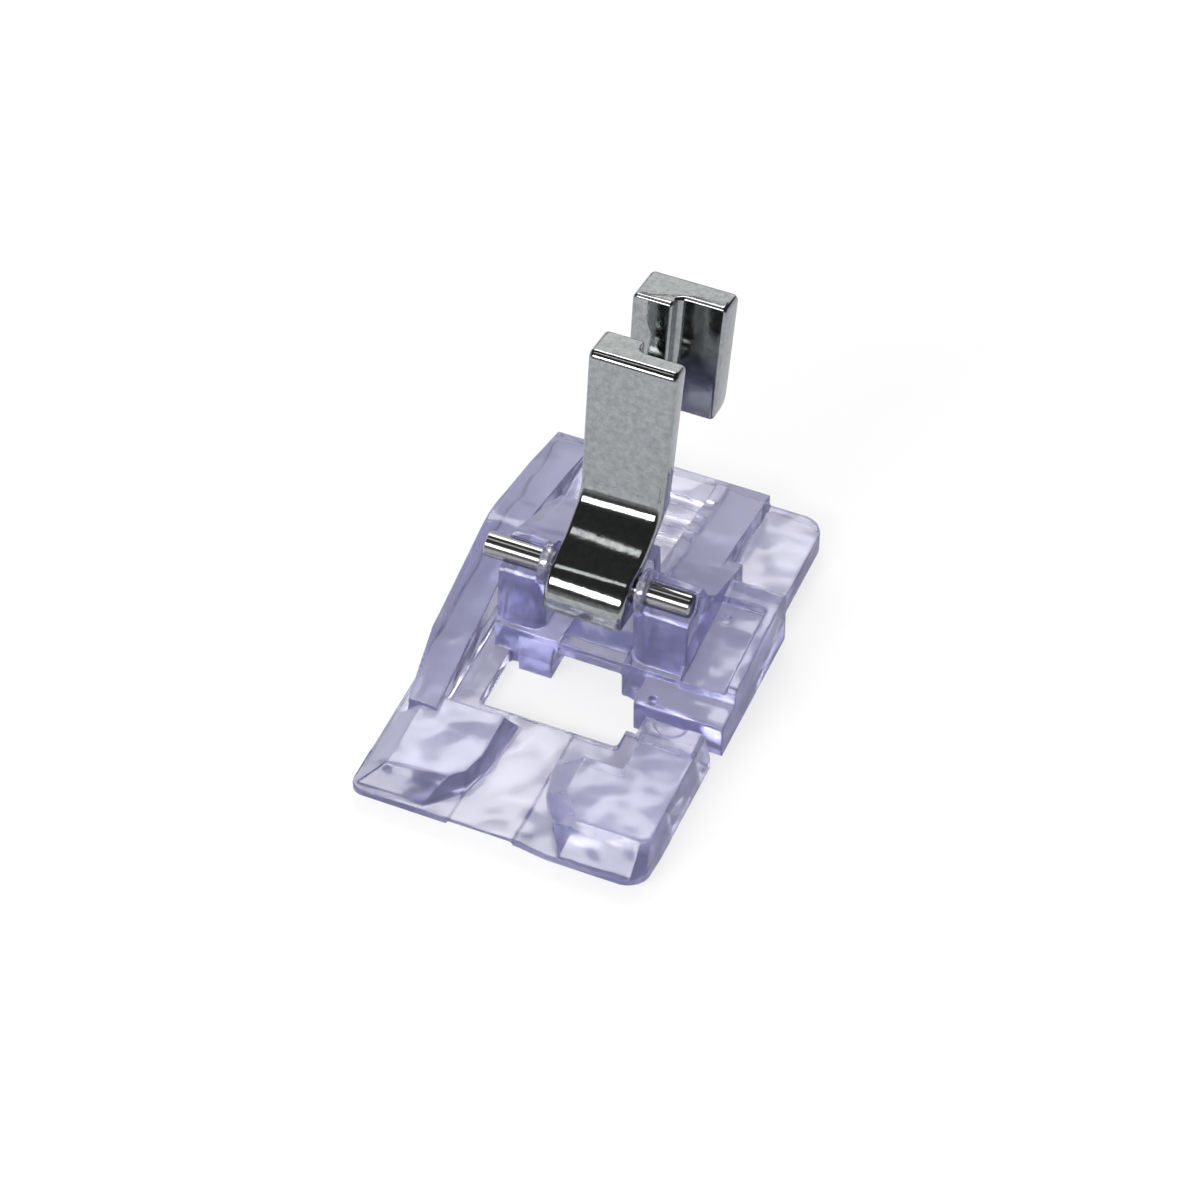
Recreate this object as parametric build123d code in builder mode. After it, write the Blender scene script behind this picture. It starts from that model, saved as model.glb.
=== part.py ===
from build123d import *
import os
from math import cos, radians, sin, tan

os.makedirs("parts", exist_ok=True)

# Millimetres. The origin is the needle's drop point on the plane of the sole's underside.
# +X is the operator's right, +Y the rear and +Z up.

# Hinge pin
pin_radius = 0.95
pin_left = -8.5
pin_right = 7.4
pin_y = 5.0
pin_z = 8.6
pin_chamfer = 0.15
pin_clearance = 0.05

# Shank, measured upright from the pin's axis
lean = 10.0
shank_top = 16.15
shank_width = 6.8
shank_offset = 0.0
ankle_width = 6.0
plate_front = 3.55
shank_back = 15.55
front_prong = 3.15
screw_slot = 5.0
slot_floor = 8.6
channel_wall = 1.8
bar_channel = 7.6
left_part = 3.1
channel_fillet = 0.6
bridge_bottom = 6.4
slope = 39.0
shoulder = 24.0
elbow_y = 1.25
elbow_radius = 6.0
eye_wall = 0.5
web = 1.2
nose_front = -2.65
nose_radius = 2.7
ankle_bottom = -2.4
knee_radius = 2.4
shank_edge = 0.42
shank_corner = 0.6

# Sole, plan sizes
sole_left = -10.7
sole_right = 11.85
toe_right = 11.5
toe_front = -13.95
right_toe_front = -14.3
heel_back = 22.6
base = 1.2
toe_lift = 0.6
toe_lift_back = -10.5
opening_left = -5.65
opening_right = 5.0
opening_front = -3.2
opening_back = 2.4
opening_corner = 1.8
thread_slot = 1.3
thread_slot_y = -0.85

# Toe
left_toe_top = 2.6
left_toe_back = -4.8
left_toe_bevel = 1.9
left_toe_rise = 1.95
right_toe_top = 3.2
right_toe_rise = 2.3
notch_front = -6.46
notch_right = 6.85
lip = 0.25
lip_front = -3.75
lip_margin = 0.6
groove_left = -3.3
groove_right = 1.65
groove_depth = 0.55

# Ears and bridge
left_ear_out = -6.95
left_ear_in = -3.35
left_ear_notch = -4.0
right_ear_in = 3.4
right_ear_notch = 4.05
right_ear_out = 7.7
ear_front = 2.8
ear_lean = 0.55
ear_round = 1.1
ear_ledge = 8.3
ear_wall = 0.75
ear_tail = 15.9
bridge_top = 3.5
stop_gap = 0.15

# Ribs, heel plate and tunnel
rib_right = -7.6
rib_top = 6.1
rib_tail = 17.4
rib_front = -6.4
heel_plate = 2.9
tab_top = 1.9
wedge_left = 2.45
wedge_right = 6.5
tab_right = 11.0
tab_corner = 1.7
tunnel_left = -2.2
tunnel_right = 3.0
tunnel_top = 1.0
tunnel_foot_left = -4.8
tunnel_foot_front = 1.8
heel_groove = 0.9
ledge_top = 3.0
block_front = 2.15
block_back = 12.1
block_top_front = 4.4
block_top_back = 5.0
dish_depth = 0.7
rim = 0.8
mark_depth = 0.1
lip_mark = 1.25
dish_mark = 0.45
gate_pit = 0.6

eye_radius = pin_radius + pin_clearance + eye_wall
lean_cos, lean_sin = cos(radians(lean)), sin(radians(lean))
side = Plane(origin=(0, pin_y, pin_z), x_dir=(0, lean_cos, -lean_sin), z_dir=(1, 0, 0))
front = Plane(origin=(0, pin_y, pin_z), x_dir=(1, 0, 0), z_dir=(0, -lean_cos, lean_sin))
deck = Plane(origin=(0, pin_y, pin_z), x_dir=(1, 0, 0), z_dir=(0, lean_sin, lean_cos))


def shoulder_height(y, depth=0.0):
    """Height over the pin's axis of the shank's shoulder, or of a line that far beneath it."""
    return (eye_radius - depth) / cos(radians(shoulder)) + y * tan(radians(shoulder))


def slope_height(y, depth=0.0):
    """The same for the steeper slope that rises from the shoulder to the front plate."""
    drop = depth / cos(radians(slope))
    return shoulder_height(elbow_y) + (y - elbow_y) * tan(radians(slope)) - drop


def round_corner(sketch, point, radius):
    fillet(sketch.vertices().sort_by_distance(point)[0], radius)


def add_profile(points, left, right, mode=Mode.ADD):
    """Extrude a closed outline in Y and Z from one X to another."""
    with BuildSketch(Plane.YZ.offset(left)) as profile:
        with BuildLine():
            Polyline(*points, close=True)
        make_face()
    extrude(profile.sketch, amount=right - left, mode=mode)


def add_plan(points, bottom, top, mode=Mode.ADD, corners=()):
    """Extrude a closed outline in X and Y from one height to another, with some corners rounded."""
    with BuildSketch(Plane.XY.offset(bottom)) as plan:
        with BuildLine():
            Polyline(*points, close=True)
        make_face()
        for point, radius in corners:
            round_corner(plan, point, radius)
    extrude(plan.sketch, amount=top - bottom, mode=mode)


def add_ramped(foot, foot_z, crest, crest_z):
    """Loft between two outlines in X and Y with the same number of corners."""
    sections = []
    for points, height in ((foot, foot_z), (crest, crest_z)):
        with BuildSketch(Plane.XY.offset(height)) as section:
            with BuildLine():
                Polyline(*points, close=True)
            make_face()
        sections.append(section.sketch)
    loft(sections, ruled=True)


def add_ear(left, right, back):
    """One ear that carries the pin, from its leaning front to the given points behind it."""
    face = ear_front + ear_lean
    crest = pin_z + pin_radius
    outline = [
        (ear_front, 0),
        (ear_front, bridge_top),
        (face, ear_ledge - 0.3),
        (face + 0.3, ear_ledge),
        (pin_y, ear_ledge),
        (pin_y + 0.4, crest),
        (pin_y + 1.2, crest),
    ]
    add_profile(outline + back, left, right)


# Hinge pin
with BuildPart() as hinge_pin:
    with BuildSketch(Plane.YZ.offset(pin_left)):
        with Locations((pin_y, pin_z)):
            Circle(pin_radius)
    extrude(amount=pin_right - pin_left)
    chamfer(hinge_pin.edges().filter_by(GeomType.CIRCLE), pin_chamfer)

# Shank
web_line = slope_height(eye_radius, web)
elbow = (elbow_y, shoulder_height(elbow_y))
left_side = shank_offset - shank_width / 2
right_side = shank_offset + shank_width / 2
plate_back = plate_front + front_prong
step_x = left_side + left_part
slot_centre = plate_back + screw_slot / 2
channel_front = plate_front + channel_wall
channel_back = channel_front + bar_channel
nose_corner = (nose_front, shoulder_height(nose_front))
heel_corner = (eye_radius, ankle_bottom)
knee = (plate_front, slope_height(plate_front))

with BuildPart() as shank:
    with BuildSketch(side) as outline:
        with BuildLine():
            Polyline(
                (plate_front, shank_top),
                knee,
                elbow,
                nose_corner,
                (nose_front, ankle_bottom),
                heel_corner,
                (eye_radius, web_line),
                (plate_back, slope_height(plate_back, web)),
                (plate_back, bridge_bottom),
                (shank_back, bridge_bottom),
                (shank_back, shank_top),
                close=True,
            )
        make_face()
        round_corner(outline, knee, knee_radius)
        round_corner(outline, elbow, elbow_radius)
        round_corner(outline, nose_corner, nose_radius)
        round_corner(outline, (nose_front, ankle_bottom), shank_corner)
        round_corner(outline, heel_corner, eye_radius - 0.2)
        round_corner(outline, (shank_back, bridge_bottom), 1.2)
        round_corner(outline, (plate_front, shank_top), shank_corner)
        round_corner(outline, (shank_back, shank_top), shank_corner)
        round_corner(outline, (eye_radius, web_line), 0.6)
        round_corner(outline, (plate_back, slope_height(plate_back, web)), 0.6)
        round_corner(outline, (plate_back, bridge_bottom), 0.6)
    extrude(amount=shank_width, both=True)
    # The sides draw in towards the ankle
    with BuildSketch(front):
        with BuildLine():
            Polyline(
                (shank_offset - ankle_width / 2, ankle_bottom - 1),
                (shank_offset + ankle_width / 2, ankle_bottom - 1),
                (right_side, shank_top + 1),
                (left_side, shank_top + 1),
                close=True,
            )
        make_face()
    extrude(amount=2 * shank_back, both=True, mode=Mode.INTERSECT)
    # Round every edge of the two sides before anything is cut
    flanks = shank.faces().filter_by(lambda face: abs(face.normal_at().X) > 0.9)
    fillet(flanks.edges().filter_by(Axis.X, reverse=True), shank_edge)
    # U-shaped slot for the clamping screw, open at the top
    with BuildSketch(side):
        with Locations((slot_centre, slot_floor + screw_slot / 2)):
            Circle(screw_slot / 2)
            Rectangle(screw_slot, shank_top, align=(Align.CENTER, Align.MIN))
    extrude(amount=shank_width, both=True, mode=Mode.SUBTRACT)
    # Channel for the presser bar, open to the right and all the way down
    with BuildSketch(deck) as channel:
        with Locations((step_x, channel_front)):
            Rectangle(shank_width, bar_channel, align=Align.MIN)
        round_corner(channel, (step_x, channel_front), channel_fillet)
        round_corner(channel, (step_x, channel_back), channel_fillet)
    extrude(amount=2 * shank_top, mode=Mode.SUBTRACT)
    # Bore for the hinge pin
    with BuildSketch(side):
        Circle(pin_radius + pin_clearance)
    extrude(amount=shank_width, both=True, mode=Mode.SUBTRACT)

hinge_pin.part.label = "hinge_pin"
export_step(hinge_pin.part, "parts/hinge_pin.step")
shank.part.label = "shank"
export_step(shank.part, "parts/shank.step")

# Sole
stop_y = eye_radius + 1.0
stop_spot = side.from_local_coords((stop_y, slope_height(stop_y, web), 0))
stop_front = stop_spot.Y - 0.2
stop_top = stop_spot.Z - stop_gap
slot_front = thread_slot_y - thread_slot / 2
slot_back = thread_slot_y + thread_slot / 2

# Toe outlines: each foot lies on the base, and each crest is the edge of a block's top
left_crest_x = sole_left + left_toe_bevel
left_crest_y = toe_front + left_toe_rise
left_toe_foot = [(sole_left + 0.1, toe_front + 0.5), (-5.4, toe_front + 0.5), (-3.2, -11.2), (-2.3, -8.8),
                 (-2.0, left_toe_back + 0.6), (sole_left, left_toe_back + 0.6)]
left_toe_crest = [(left_crest_x, left_crest_y), (-4.2, left_crest_y + 0.7), (-3.3, -10.4), (-2.9, -8.8),
                  (-2.9, left_toe_back), (left_crest_x, left_toe_back)]
right_crest_y = right_toe_front + right_toe_rise
right_toe_foot = [(1.8, notch_front), (2.3, -9.2), (5.2, right_toe_front + 0.2),
                  (toe_right - 0.9, right_toe_front + 0.2), (toe_right, right_toe_front + 1.1),
                  (toe_right, slot_back), (notch_right, slot_back), (notch_right, notch_front)]
right_toe_crest = [(4.0, notch_front), (4.0, -9.8), (5.8, right_crest_y), (toe_right - 0.9, right_crest_y),
                   (toe_right - 0.4, right_crest_y + 0.5), (toe_right - 0.4, slot_back),
                   (notch_right, slot_back), (notch_right, notch_front)]

with BuildPart() as sole:
    # Base slab with rounded corners
    add_plan(
        [
            (sole_left - 0.2, toe_front),
            (2.0, toe_front),
            (4.5, right_toe_front),
            (toe_right, right_toe_front),
            (toe_right, thread_slot_y),
            (sole_right, thread_slot_y),
            (sole_right, block_back),
            (tab_right, block_back),
            (tab_right, heel_back),
            (sole_left, heel_back),
        ],
        0,
        base,
        corners=[
            ((sole_left - 0.2, toe_front), 1.0),
            ((toe_right, right_toe_front), 1.8),
            ((tab_right, heel_back), tab_corner),
            ((sole_left, heel_back), 1.2),
        ],
    )
    # Left toe block with an outer bevel and a steep wall to the funnel, then the right one,
    # with a shallow ramp to the funnel and a notch behind it
    add_ramped(left_toe_foot, base, left_toe_crest, left_toe_top)
    add_ramped(right_toe_foot, base, right_toe_crest, right_toe_top)
    # Raised lip on the front side of the thread slot
    lip_left = notch_right - 0.3
    lip_right = toe_right - lip_margin
    add_plan([(lip_left, lip_front), (lip_right, lip_front), (lip_right, slot_back), (lip_left, slot_back)],
             right_toe_top, right_toe_top + lip)
    # Left rib, rising to a hump beside the ear
    with BuildSketch(Plane.YZ.offset(sole_left)):
        with BuildLine():
            start = Line((rib_front, base), (rib_front + 0.25, left_toe_top + 0.3))
            rise = Polyline(start @ 1, (1.4, rib_top - 1.9), (8.0, rib_top - 0.3))
            hump = ThreePointArc(rise @ 1, (10.0, rib_top), (12.4, rib_top - 0.4))
            Polyline(
                hump @ 1,
                (rib_tail, rib_top - 1.6),
                (heel_back, heel_plate),
                (heel_back, 0),
                (rib_front, 0),
                start @ 0,
            )
        make_face()
    extrude(amount=rib_right - sole_left)
    # The rib's outer front corner is cut back
    add_plan([(sole_left - 1, rib_front), (sole_left + 0.95, rib_front), (sole_left, rib_front + 6.5),
              (sole_left - 1, rib_front + 6.5)],
             base, rib_top, mode=Mode.SUBTRACT)
    # Bridge between the ears, and the ledge behind the thread slot
    add_profile([(opening_back, 0), (opening_back, bridge_top), (9.8, bridge_top), (11.2, heel_plate),
                 (11.2, 0)],
                left_ear_out, right_ear_out)
    ledge_back = block_front + 1
    add_profile([(slot_back, 0), (slot_back, ledge_top - 0.2), (slot_back + 0.3, ledge_top),
                 (ledge_back, ledge_top), (ledge_back, 0)],
                opening_right, sole_right)
    # Heel plate, sloping wedge and tab
    add_profile([(8.0, 0), (8.0, heel_plate), (heel_back, heel_plate), (heel_back, 0)],
                rib_right - 1, wedge_right)
    add_profile([(10.0, 0), (10.0, 5.4), (11.8, block_top_back), (heel_back, heel_plate), (heel_back, 0)],
                wedge_left, wedge_right)
    add_plan([(wedge_right - 1, 11.0), (tab_right, 11.0), (tab_right, heel_back),
              (wedge_right - 1, heel_back)],
             base, tab_top, corners=[((tab_right, heel_back), tab_corner)])
    # Ears: each has a ledge in front of the pin and a raised block behind it that slopes down
    left_back = [(ear_tail - 1.4, 5.2), (ear_tail, heel_plate), (ear_tail, 0)]
    right_back = [(7.2, 7.8), (8.8, 6.2), (block_back, block_top_back), (14.0, 4.3), (14.0, 0)]
    add_ear(left_ear_out, left_ear_in, left_back)
    add_ear(right_ear_in, right_ear_out, right_back)
    # The inner front corner of each ear is well rounded
    for inner in (left_ear_in, right_ear_in):
        ear_corner = sole.edges().sort_by_distance((inner, ear_front + ear_lean / 2, 6.0))[0]
        fillet(ear_corner, ear_round)
    # Flanges that close round the pin on the inner side of each ear
    for inner, notch in ((left_ear_in, left_ear_notch), (right_ear_in, right_ear_notch)):
        with BuildSketch(Plane.YZ.offset(min(inner, notch))):
            with Locations((pin_y, pin_z)):
                Circle(pin_radius + ear_wall)
            with BuildLine():
                Polyline((pin_y - 1.5, bridge_top), (pin_y - 1.5, pin_z - 0.8), (pin_y, pin_z),
                         (pin_y, bridge_top), close=True)
            make_face()
        extrude(amount=abs(inner - notch))
    # Right block with a dished top inside a rim
    add_profile([(block_front, 0), (block_front, block_top_front - 0.4),
                 (block_front + 0.4, block_top_front), (block_back - 0.4, block_top_back),
                 (block_back, block_top_back - 0.4), (block_back, 0)],
                right_ear_out - 0.2, sole_right)
    # Stop wall behind the shank's heel
    add_profile([(stop_front, bridge_top), (stop_front, stop_top - 0.4), (stop_front + 1.1, stop_top),
                 (stop_front + 1.5, bridge_top)],
                left_ear_in, right_ear_in)

    # Needle opening, and the thread slot that leads into it from the right
    add_plan([(opening_left, opening_front), (opening_right, opening_front), (opening_right, opening_back),
              (opening_left, opening_back)], -1, bridge_top + 1, mode=Mode.SUBTRACT,
             corners=[((opening_right, opening_back), opening_corner), ((opening_left, opening_front), 0.4),
                      ((opening_left, opening_back), 0.4), ((opening_right, opening_front), 0.4)])
    add_plan([(opening_right - 1, slot_front), (sole_right + 1, slot_front), (sole_right + 1, slot_back),
              (opening_right - 1, slot_back)], -1, right_toe_top + 1, mode=Mode.SUBTRACT)
    # Dish in the right block
    add_profile([(block_front - 1, block_top_front - dish_depth),
                 (block_back - 2.2, block_top_back - dish_depth), (block_back - 1.7, block_top_back + 1),
                 (block_front - 1, block_top_back + 1)],
                right_ear_out, sole_right - rim, mode=Mode.SUBTRACT)
    # Moulding marks: an ejector disc on the lip, one in the dish, and a gate pit on the ledge
    with BuildSketch(Plane.XY.offset(right_toe_top + lip - mark_depth)):
        with Locations((8.5, slot_front)):
            Circle(lip_mark)
    extrude(amount=1, mode=Mode.SUBTRACT)
    with BuildSketch(Plane.XY.offset(block_top_back - dish_depth - 2 * mark_depth)):
        with Locations((8.6, 8.5)):
            Circle(dish_mark)
    extrude(amount=1, mode=Mode.SUBTRACT)
    with BuildSketch(Plane.XY.offset(ledge_top - gate_pit)):
        with Locations((6.25, 0.5)):
            Rectangle(gate_pit, gate_pit)
    extrude(amount=1, mode=Mode.SUBTRACT)
    # Tunnel from the opening to the heel, with three grooves across its roof
    add_profile([(opening_back - 1, -1), (opening_back - 1, 2.2), (opening_back + 1.5, 2.2),
                 (opening_back + 4.0, tunnel_top), (heel_back + 1, tunnel_top), (heel_back + 1, -1)],
                tunnel_left, tunnel_right, mode=Mode.SUBTRACT)
    for number in range(3):
        groove_y = heel_back - 3.0 - 2.0 * number
        groove_top = tunnel_top + heel_groove
        add_profile([(groove_y, 0), (groove_y, groove_top), (groove_y + 1.0, groove_top),
                     (groove_y + 1.0, 0)],
                    tunnel_left, tunnel_right, mode=Mode.SUBTRACT)
    # Foot to the left of the tunnel, standing a little forward of the bridge
    add_profile([(tunnel_foot_front, 0), (tunnel_foot_front, 1.6), (opening_back, bridge_top - 0.6),
                 (opening_back + 1, bridge_top - 0.6), (opening_back + 1, 0)],
                tunnel_foot_left, tunnel_left)
    # Toe lift under the front edge, and the groove that leads in under the funnel
    add_profile([(right_toe_front - 1, -1), (right_toe_front - 1, toe_lift + 0.2), (toe_front, toe_lift),
                 (toe_lift_back, 0), (toe_lift_back, -1)],
                sole_left - 1, sole_right + 1, mode=Mode.SUBTRACT)
    add_profile([(right_toe_front - 1, -1), (right_toe_front - 1, toe_lift + 0.35),
                 (toe_front, toe_lift + 0.3), (toe_lift_back, groove_depth),
                 (opening_front + 1, groove_depth), (opening_front + 1, -1)],
                groove_left, groove_right, mode=Mode.SUBTRACT)
    # Press fit for the pin, blind in the right ear
    with BuildSketch(Plane.YZ.offset(left_ear_out - 1)):
        with Locations((pin_y, pin_z)):
            Circle(pin_radius)
    extrude(amount=pin_right - left_ear_out + 1, mode=Mode.SUBTRACT)

sole.part.label = "sole"
export_step(sole.part, "parts/sole.step")
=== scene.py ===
import math

import bmesh
import bpy
from mathutils import Matrix, Vector


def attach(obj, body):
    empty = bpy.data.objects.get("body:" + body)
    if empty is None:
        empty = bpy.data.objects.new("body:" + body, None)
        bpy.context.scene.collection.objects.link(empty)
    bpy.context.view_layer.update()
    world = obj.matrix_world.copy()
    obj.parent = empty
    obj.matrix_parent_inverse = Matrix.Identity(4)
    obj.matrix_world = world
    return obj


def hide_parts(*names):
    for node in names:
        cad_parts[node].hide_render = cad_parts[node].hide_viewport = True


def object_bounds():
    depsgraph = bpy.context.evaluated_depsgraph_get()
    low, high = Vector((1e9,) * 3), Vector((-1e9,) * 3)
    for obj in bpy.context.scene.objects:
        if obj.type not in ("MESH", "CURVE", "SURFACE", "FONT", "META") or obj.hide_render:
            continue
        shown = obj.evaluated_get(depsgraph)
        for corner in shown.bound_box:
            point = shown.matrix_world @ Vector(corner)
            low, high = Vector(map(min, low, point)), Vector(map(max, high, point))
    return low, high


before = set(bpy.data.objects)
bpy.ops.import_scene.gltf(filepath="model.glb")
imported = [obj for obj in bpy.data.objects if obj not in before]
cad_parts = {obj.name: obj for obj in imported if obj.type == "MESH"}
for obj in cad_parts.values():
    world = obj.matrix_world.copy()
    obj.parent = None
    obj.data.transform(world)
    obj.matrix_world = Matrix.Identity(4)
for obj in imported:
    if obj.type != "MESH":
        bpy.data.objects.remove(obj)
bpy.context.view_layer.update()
print("frame loaded")

mm = 0.001


def hexColour(code):
    channels = [int(code[i:i + 2], 16) / 255 for i in (1, 3, 5)]
    linear = [c / 12.92 if c <= 0.04045 else ((c + 0.055) / 1.055) ** 2.4 for c in channels]
    return (*linear, 1.0)


def addNode(tree, kind, settings=None, inputs=None):
    node = tree.nodes.new(kind)
    for name, value in (settings or {}).items():
        setattr(node, name, value)
    for name, value in (inputs or {}).items():
        socket = node.inputs[name]
        if isinstance(value, bpy.types.NodeSocket):
            tree.links.new(value, socket)
        else:
            socket.default_value = value
    return node


def newMaterial(name):
    material = bpy.data.materials.new(name)
    material.use_nodes = True
    material.node_tree.nodes.clear()
    return material, material.node_tree


# Camera: looks from the operator's right, down onto the foot, as the photograph was taken
view = {
    "azimuth": 23.1,       # degrees round to the right of straight ahead
    "elevation": 47.2,
    "distance": 297.0,     # mm from the hinge
    "pixelsPerMm": 14.1,   # at the hinge, in a 1200 pixel picture
    "pictureSize": 1200,
    "hingePixel": (590.5, 578.0),
    "hinge": (-0.4, 4.8, 8.5),
    "sensor": 36.0,
    "nearest": 10.0,       # mm, nothing closer than this is drawn
}


def placeCamera():
    az, el = math.radians(view["azimuth"]), math.radians(view["elevation"])
    right = Vector((math.cos(az), math.sin(az), 0))
    ahead = Vector((-math.sin(az) * math.cos(el), math.cos(az) * math.cos(el), -math.sin(el)))
    up = right.cross(ahead)
    half = view["pictureSize"] / 2
    across = (view["hingePixel"][0] - half) / view["pixelsPerMm"]
    above = (half - view["hingePixel"][1]) / view["pixelsPerMm"]
    place = Vector(view["hinge"]) - across * right - above * up - view["distance"] * ahead
    data = bpy.data.cameras.new("camera")
    data.sensor_width = view["sensor"]
    data.lens = view["sensor"] * view["pixelsPerMm"] * view["distance"] / view["pictureSize"]
    data.clip_start = view["nearest"] * mm
    camera = bpy.data.objects.new("camera", data)
    turn = Matrix((right, up, -ahead)).transposed().to_4x4()
    camera.matrix_world = Matrix.Translation(place * mm) @ turn
    bpy.context.collection.objects.link(camera)
    bpy.context.scene.camera = camera


placeCamera()
print("camera placed")

# Tinted polycarbonate, injection moulded: clear with a violet cast that deepens at the edges, and
# shallow flow marks that break the lamps' reflections into clouds
polycarbonate = {
    "ior": 1.585,
    "roughness": 0.17,     # handled and a little dulled, so the clouds have soft edges
    "surface": "#FDFDFF",
    "tint": "#9391D6",
    "density": 85.0,       # per metre, so 3 mm of plastic takes on a pale tint
    "clear": 0.88,         # share of clear plastic, the rest is the milky haze in it
    "milk": "#B8B9E0",
    "milkRoughness": 0.3,
    "sinkSize": 3.8,       # mm between the flow marks
    "sinkDetail": 1.0,
    "sinkHeight": 0.5,     # mm, deeper than the real ones so that they show
}


def makePolycarbonate():
    p = polycarbonate
    material, tree = newMaterial("tinted polycarbonate")
    coord = addNode(tree, "ShaderNodeTexCoord")
    waves = addNode(tree, "ShaderNodeTexNoise", inputs={
        "Vector": coord.outputs["Object"], "Scale": 1 / (p["sinkSize"] * mm),
        "Detail": p["sinkDetail"]})
    bump = addNode(tree, "ShaderNodeBump", inputs={
        "Height": waves.outputs["Fac"], "Strength": 1.0, "Distance": p["sinkHeight"] * mm})
    skin = addNode(tree, "ShaderNodeBsdfPrincipled", inputs={
        "Base Color": hexColour(p["surface"]), "Roughness": p["roughness"], "IOR": p["ior"],
        "Transmission Weight": 1.0, "Normal": bump.outputs["Normal"]})
    milk = addNode(tree, "ShaderNodeBsdfPrincipled", inputs={
        "Base Color": hexColour(p["milk"]), "Roughness": p["milkRoughness"], "IOR": p["ior"],
        "Normal": bump.outputs["Normal"]})
    both = addNode(tree, "ShaderNodeMixShader", inputs={
        0: p["clear"], 1: milk.outputs["BSDF"], 2: skin.outputs["BSDF"]})
    depth = addNode(tree, "ShaderNodeVolumeAbsorption", inputs={
        "Color": hexColour(p["tint"]), "Density": p["density"]})
    addNode(tree, "ShaderNodeOutputMaterial", inputs={
        "Surface": both.outputs["Shader"], "Volume": depth.outputs["Volume"]})
    return material


# Bright nickel-chrome plate over a zinc die casting: mirror bright on the curves, and a fine
# speckle on the flats where the plate follows the cast skin
platedZinc = {
    "colour": "#AEB2AE",
    "dull": "#93979B",       # in the hollows of the cast skin
    "roughness": 0.1,
    "pebble": 0.9,           # mm between the pebbles of the cast skin
    "pebbleDetail": 3.0,
    "pebbleHeight": 0.008,   # mm
    "grain": 0.2,            # mm between the satin grains
    "grainDetail": 2.0,
    "grainHeight": 0.003,    # mm
    "speckle": 0.45,         # mm between the dull specks, coarser than the real ones so that they show
    "speckleDetail": 6.0,
    "speckleRoughness": 0.75,
    "speckleFrom": 0.36,     # below this height of the noise the plate is dull
    "speckleTo": 0.62,       # and above this one it is bright
}


def makePlatedZinc():
    p = platedZinc
    material, tree = newMaterial("plated zinc")
    coord = addNode(tree, "ShaderNodeTexCoord")
    pebble = addNode(tree, "ShaderNodeTexNoise", inputs={
        "Vector": coord.outputs["Object"], "Scale": 1 / (p["pebble"] * mm), "Detail": p["pebbleDetail"]})
    grain = addNode(tree, "ShaderNodeTexNoise", inputs={
        "Vector": coord.outputs["Object"], "Scale": 1 / (p["grain"] * mm), "Detail": p["grainDetail"]})
    pebbleBump = addNode(tree, "ShaderNodeBump", inputs={
        "Height": pebble.outputs["Fac"], "Strength": 1.0, "Distance": p["pebbleHeight"] * mm})
    grainBump = addNode(tree, "ShaderNodeBump", inputs={
        "Height": grain.outputs["Fac"], "Strength": 1.0, "Distance": p["grainHeight"] * mm,
        "Normal": pebbleBump.outputs["Normal"]})
    specks = addNode(tree, "ShaderNodeTexNoise", inputs={
        "Vector": coord.outputs["Object"], "Scale": 1 / (p["speckle"] * mm),
        "Detail": p["speckleDetail"], "Roughness": p["speckleRoughness"]})
    bright = addNode(tree, "ShaderNodeMapRange", inputs={
        "Value": specks.outputs["Fac"], "From Min": p["speckleFrom"], "From Max": p["speckleTo"]})
    mixed = addNode(tree, "ShaderNodeMix", {"data_type": "RGBA"}, {"Factor": bright.outputs["Result"]})
    mixed.inputs[6].default_value = hexColour(p["dull"])
    mixed.inputs[7].default_value = hexColour(p["colour"])
    skin = addNode(tree, "ShaderNodeBsdfPrincipled", inputs={
        "Base Color": mixed.outputs[2], "Metallic": 1.0, "Roughness": p["roughness"],
        "Normal": grainBump.outputs["Normal"]})
    addNode(tree, "ShaderNodeOutputMaterial", inputs={"Surface": skin.outputs["BSDF"]})
    return material


# Ground steel pin: centreless grinding leaves fine rings, which spread the streak of light
groundSteel = {
    "colour": "#A4A4A3",
    "roughness": 0.16,
    "ringPitch": 0.3,       # mm, drawn coarser than the real rings so that they show
    "ringHeight": 0.0015,   # mm
    "ringWander": 1.5,
    "ringDetail": 2.0,
    "waveStep": 0.314,      # the wave node's own length of one band, for a scale of 1
}


def makeGroundSteel():
    p = groundSteel
    material, tree = newMaterial("ground steel")
    coord = addNode(tree, "ShaderNodeTexCoord")
    rings = addNode(tree, "ShaderNodeTexWave", {"bands_direction": "X"}, {
        "Vector": coord.outputs["Object"], "Scale": p["waveStep"] / (p["ringPitch"] * mm),
        "Distortion": p["ringWander"], "Detail": p["ringDetail"]})
    bump = addNode(tree, "ShaderNodeBump", inputs={
        "Height": rings.outputs["Fac"], "Strength": 1.0, "Distance": p["ringHeight"] * mm})
    skin = addNode(tree, "ShaderNodeBsdfPrincipled", inputs={
        "Base Color": hexColour(p["colour"]), "Metallic": 1.0, "Roughness": p["roughness"],
        "Normal": bump.outputs["Normal"]})
    addNode(tree, "ShaderNodeOutputMaterial", inputs={"Surface": skin.outputs["BSDF"]})
    return material


def standFor(piece, mesh, node, material):
    mesh.name = piece.name
    piece.modifiers.clear()
    piece.data = mesh
    mesh.materials.clear()
    mesh.materials.append(material)
    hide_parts(node)
    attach(piece, node)


def applied(piece):
    bpy.context.view_layer.update()
    return bpy.data.meshes.new_from_object(piece.evaluated_get(bpy.context.evaluated_depsgraph_get()))


def copyNode(node, name):
    piece = bpy.data.objects.new(name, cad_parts[node].data.copy())
    bpy.context.collection.objects.link(piece)
    return piece


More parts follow.
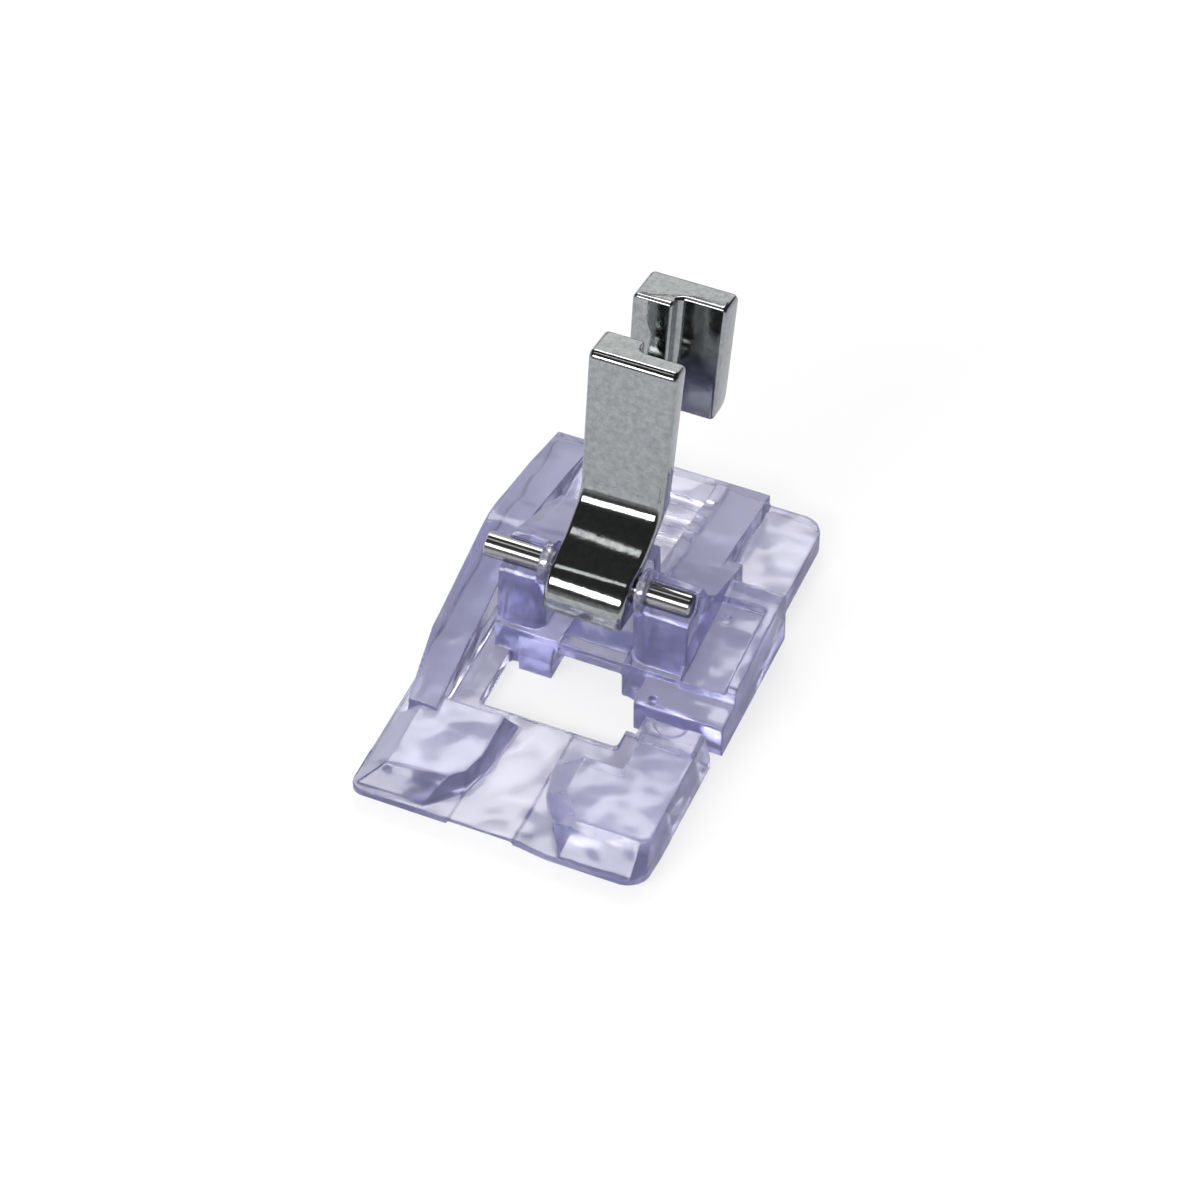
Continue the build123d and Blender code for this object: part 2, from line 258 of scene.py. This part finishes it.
# Sole: the moulded piece, whose mould left every edge and corner a little round
clearSole = {
    "voxel": 0.08,         # mm, finer than the smallest rounding
    "passes": 9,           # smoothing passes, which round the edges
    "push": 0.5,           # how far each pass moves a point towards its neighbours
    "keep": 0.22,          # share of the faces kept, the flats losing the most
}


def makeClearSole():
    c = clearSole
    piece = copyNode("sole", "clearSole")
    cells = piece.modifiers.new("cells", "REMESH")
    cells.mode = "VOXEL"
    cells.voxel_size = c["voxel"] * mm
    rounding = piece.modifiers.new("rounding", "SMOOTH")
    rounding.factor = c["push"]
    rounding.iterations = c["passes"]
    fewer = piece.modifiers.new("fewer", "DECIMATE")
    fewer.ratio = c["keep"]
    mesh = applied(piece)
    mesh.shade_smooth()
    standFor(piece, mesh, "sole", makePolycarbonate())


# Shank: the casting, tumbled before plating, so that its last sharp edges are round too. Open
# fault: joining the facets makes each side wall one face round the hole for the pin, and the
# triangles of that face cover a third or more of the hole's mouth
platedShank = {
    "edge": 0.25,          # mm
    "steps": 3,
    "sharp": 30.0,         # degrees, a fold steeper than this is an edge
    "weld": 0.002,         # mm, closer points are one
    "flatness": 0.5,       # degrees, facets nearer than this to one plane are joined
}


def makePlatedShank():
    c = platedShank
    piece = copyNode("shank", "platedShank")
    shape = bmesh.new()
    shape.from_mesh(piece.data)
    bmesh.ops.remove_doubles(shape, verts=shape.verts, dist=c["weld"] * mm)
    bmesh.ops.dissolve_limit(shape, angle_limit=math.radians(c["flatness"]), verts=shape.verts,
                             edges=shape.edges)
    shape.to_mesh(piece.data)
    shape.free()
    soft = piece.modifiers.new("softEdges", "BEVEL")
    soft.width = c["edge"] * mm
    soft.segments = c["steps"]
    soft.use_clamp_overlap = False
    soft.limit_method = "ANGLE"
    soft.angle_limit = math.radians(c["sharp"])
    mesh = applied(piece)
    mesh.shade_smooth()
    mesh.set_sharp_from_angle(angle=math.radians(c["sharp"]))
    standFor(piece, mesh, "shank", makePlatedZinc())


makeClearSole()
makePlatedShank()
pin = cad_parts["hinge_pin"].data  # the pin keeps its own mesh
pin.materials.clear()
pin.materials.append(makeGroundSteel())
print("pieces made")

# Studio: white paper on a table, two softboxes and two cards, and a dark room round them
studio = {
    "paper": "#F8F8F8",
    "paperRoughness": 0.9,
    "paperSize": 1600.0,     # mm
    "paperGap": 0.04,        # mm under the part, so that light gets out of its underside
    "whiteness": 0.68,       # how far the paper is lifted towards plain white where it is seen
    "paintedLightUnderPlastic": 0.2,        # and where it is seen through the plastic: painted light in the plastic's own shadow, standing in for the light the plastic lets through
    "mirrored": "#9494AC",   # what stands for the dimmer table further off, as the metal mirrors it
    "mirroredShare": 0.32,
    "room": 0.04,            # what the metal mirrors overhead
    "wall": 0.4,             # and at table height
    "wallTop": 0.34,         # where the wall has faded out, as the sine of the height angle
    "glow": "#F2F2FC",       # what the plastic gathers from overhead
    "horizon": "#7E7CB4",    # and from the sides
    "horizonTop": 0.05,      # sine of the height angle up to which the sides reach
    "glowBottom": 0.7,       # and of the one from which it is all overhead
    "glowStrength": 1.0,
    "fill": 0.6,             # soft light from all round
}

# Places, aims and sizes in mm, power in watts
softboxes = {
    "frontBox": {"place": (-60, -220, 170), "aim": (0, 0, 10), "size": (220, 80), "power": 0.5},
    "keyBox": {"place": (-95, 225, 262), "aim": (0, 0, 5), "size": (200, 80), "power": 0.32},
    "backCard": {"place": (-80, 320, 150), "aim": (0, 0, 10), "size": (420, 160), "power": 0.23},
    "topCard": {"place": (-94, -5, 350), "aim": (0, 5, 10), "size": (50, 200), "power": 0.045},
}


def makeFloor():
    half = studio["paperSize"] / 2 * mm
    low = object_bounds()[0][2] - studio["paperGap"] * mm
    mesh = bpy.data.meshes.new("paper")
    corners = [(-half, -half, low), (half, -half, low), (half, half, low), (-half, half, low)]
    mesh.from_pydata(corners, [], [(0, 1, 2, 3)])
    floor = bpy.data.objects.new("paper", mesh)
    bpy.context.collection.objects.link(floor)
    material, tree = newMaterial("white paper")
    skin = addNode(tree, "ShaderNodeBsdfPrincipled", inputs={
        "Base Color": hexColour(studio["paper"]), "Roughness": studio["paperRoughness"]})
    white = addNode(tree, "ShaderNodeEmission", inputs={"Color": (1, 1, 1, 1), "Strength": 1.0})
    path = addNode(tree, "ShaderNodeLightPath")
    # painted light: the paper seen through the plastic is lifted towards white, filling the plastic's
    # shadow on it
    through = addNode(tree, "ShaderNodeMath", {"operation": "MULTIPLY"}, {
        0: path.outputs["Is Transmission Ray"], 1: studio["paintedLightUnderPlastic"]})
    lift = addNode(tree, "ShaderNodeMath", {"operation": "MULTIPLY_ADD"}, {
        0: path.outputs["Is Camera Ray"], 1: studio["whiteness"], 2: through.outputs["Value"]})
    paper = addNode(tree, "ShaderNodeMixShader", inputs={
        0: lift.outputs["Value"], 1: skin.outputs["BSDF"], 2: white.outputs["Emission"]})
    dim = addNode(tree, "ShaderNodeEmission", inputs={
        "Color": hexColour(studio["mirrored"]), "Strength": 1.0})
    mirrored = addNode(tree, "ShaderNodeMath", {"operation": "MULTIPLY"}, {
        0: path.outputs["Is Glossy Ray"], 1: studio["mirroredShare"]})
    seen = addNode(tree, "ShaderNodeMixShader", inputs={
        0: mirrored.outputs["Value"], 1: paper.outputs["Shader"], 2: dim.outputs["Emission"]})
    addNode(tree, "ShaderNodeOutputMaterial", inputs={"Surface": seen.outputs["Shader"]})
    mesh.materials.append(material)


def makeRoom():
    world = bpy.data.worlds.new("room")
    world.use_nodes = True
    tree = world.node_tree
    tree.nodes.clear()
    path = addNode(tree, "ShaderNodeLightPath")
    fill = addNode(tree, "ShaderNodeBackground", inputs={
        "Color": (1, 1, 1, 1), "Strength": studio["fill"]})
    coord = addNode(tree, "ShaderNodeTexCoord")
    split = addNode(tree, "ShaderNodeSeparateXYZ", inputs={"Vector": coord.outputs["Generated"]})
    fade = addNode(tree, "ShaderNodeMapRange", {"interpolation_type": "SMOOTHSTEP"}, {
        "Value": split.outputs["Z"], "From Min": 0.0, "From Max": studio["wallTop"],
        "To Min": studio["wall"], "To Max": studio["room"]})
    dark = addNode(tree, "ShaderNodeBackground", inputs={
        "Color": (1, 1, 1, 1), "Strength": fade.outputs["Result"]})
    rise = addNode(tree, "ShaderNodeMapRange", {"interpolation_type": "SMOOTHSTEP"}, {
        "Value": split.outputs["Z"], "From Min": studio["horizonTop"], "From Max": studio["glowBottom"]})
    sky = addNode(tree, "ShaderNodeMix", {"data_type": "RGBA"}, {"Factor": rise.outputs["Result"]})
    sky.inputs[6].default_value = hexColour(studio["horizon"])
    sky.inputs[7].default_value = hexColour(studio["glow"])
    glow = addNode(tree, "ShaderNodeBackground", inputs={
        "Color": sky.outputs[2], "Strength": studio["glowStrength"]})
    metalSees = addNode(tree, "ShaderNodeMixShader", inputs={
        0: path.outputs["Is Glossy Ray"], 1: fill.outputs["Background"],
        2: dark.outputs["Background"]})
    plasticSees = addNode(tree, "ShaderNodeMixShader", inputs={
        0: path.outputs["Is Transmission Ray"], 1: metalSees.outputs["Shader"],
        2: glow.outputs["Background"]})
    addNode(tree, "ShaderNodeOutputWorld", inputs={"Surface": plasticSees.outputs["Shader"]})
    bpy.context.scene.world = world


def makeSoftbox(name, box):
    data = bpy.data.lights.new(name, "AREA")
    data.shape = "RECTANGLE"
    data.size, data.size_y = box["size"][0] * mm, box["size"][1] * mm
    data.energy = box["power"]
    lamp = bpy.data.objects.new(name, data)
    lamp.location = Vector(box["place"]) * mm
    aim = (Vector(box["aim"]) - Vector(box["place"])).normalized()
    lamp.rotation_euler = aim.to_track_quat("-Z", "Y").to_euler()
    bpy.context.collection.objects.link(lamp)


makeFloor()
makeRoom()
for name, box in softboxes.items():
    makeSoftbox(name, box)
bpy.context.scene.view_settings.view_transform = "Standard"
print("studio lit")
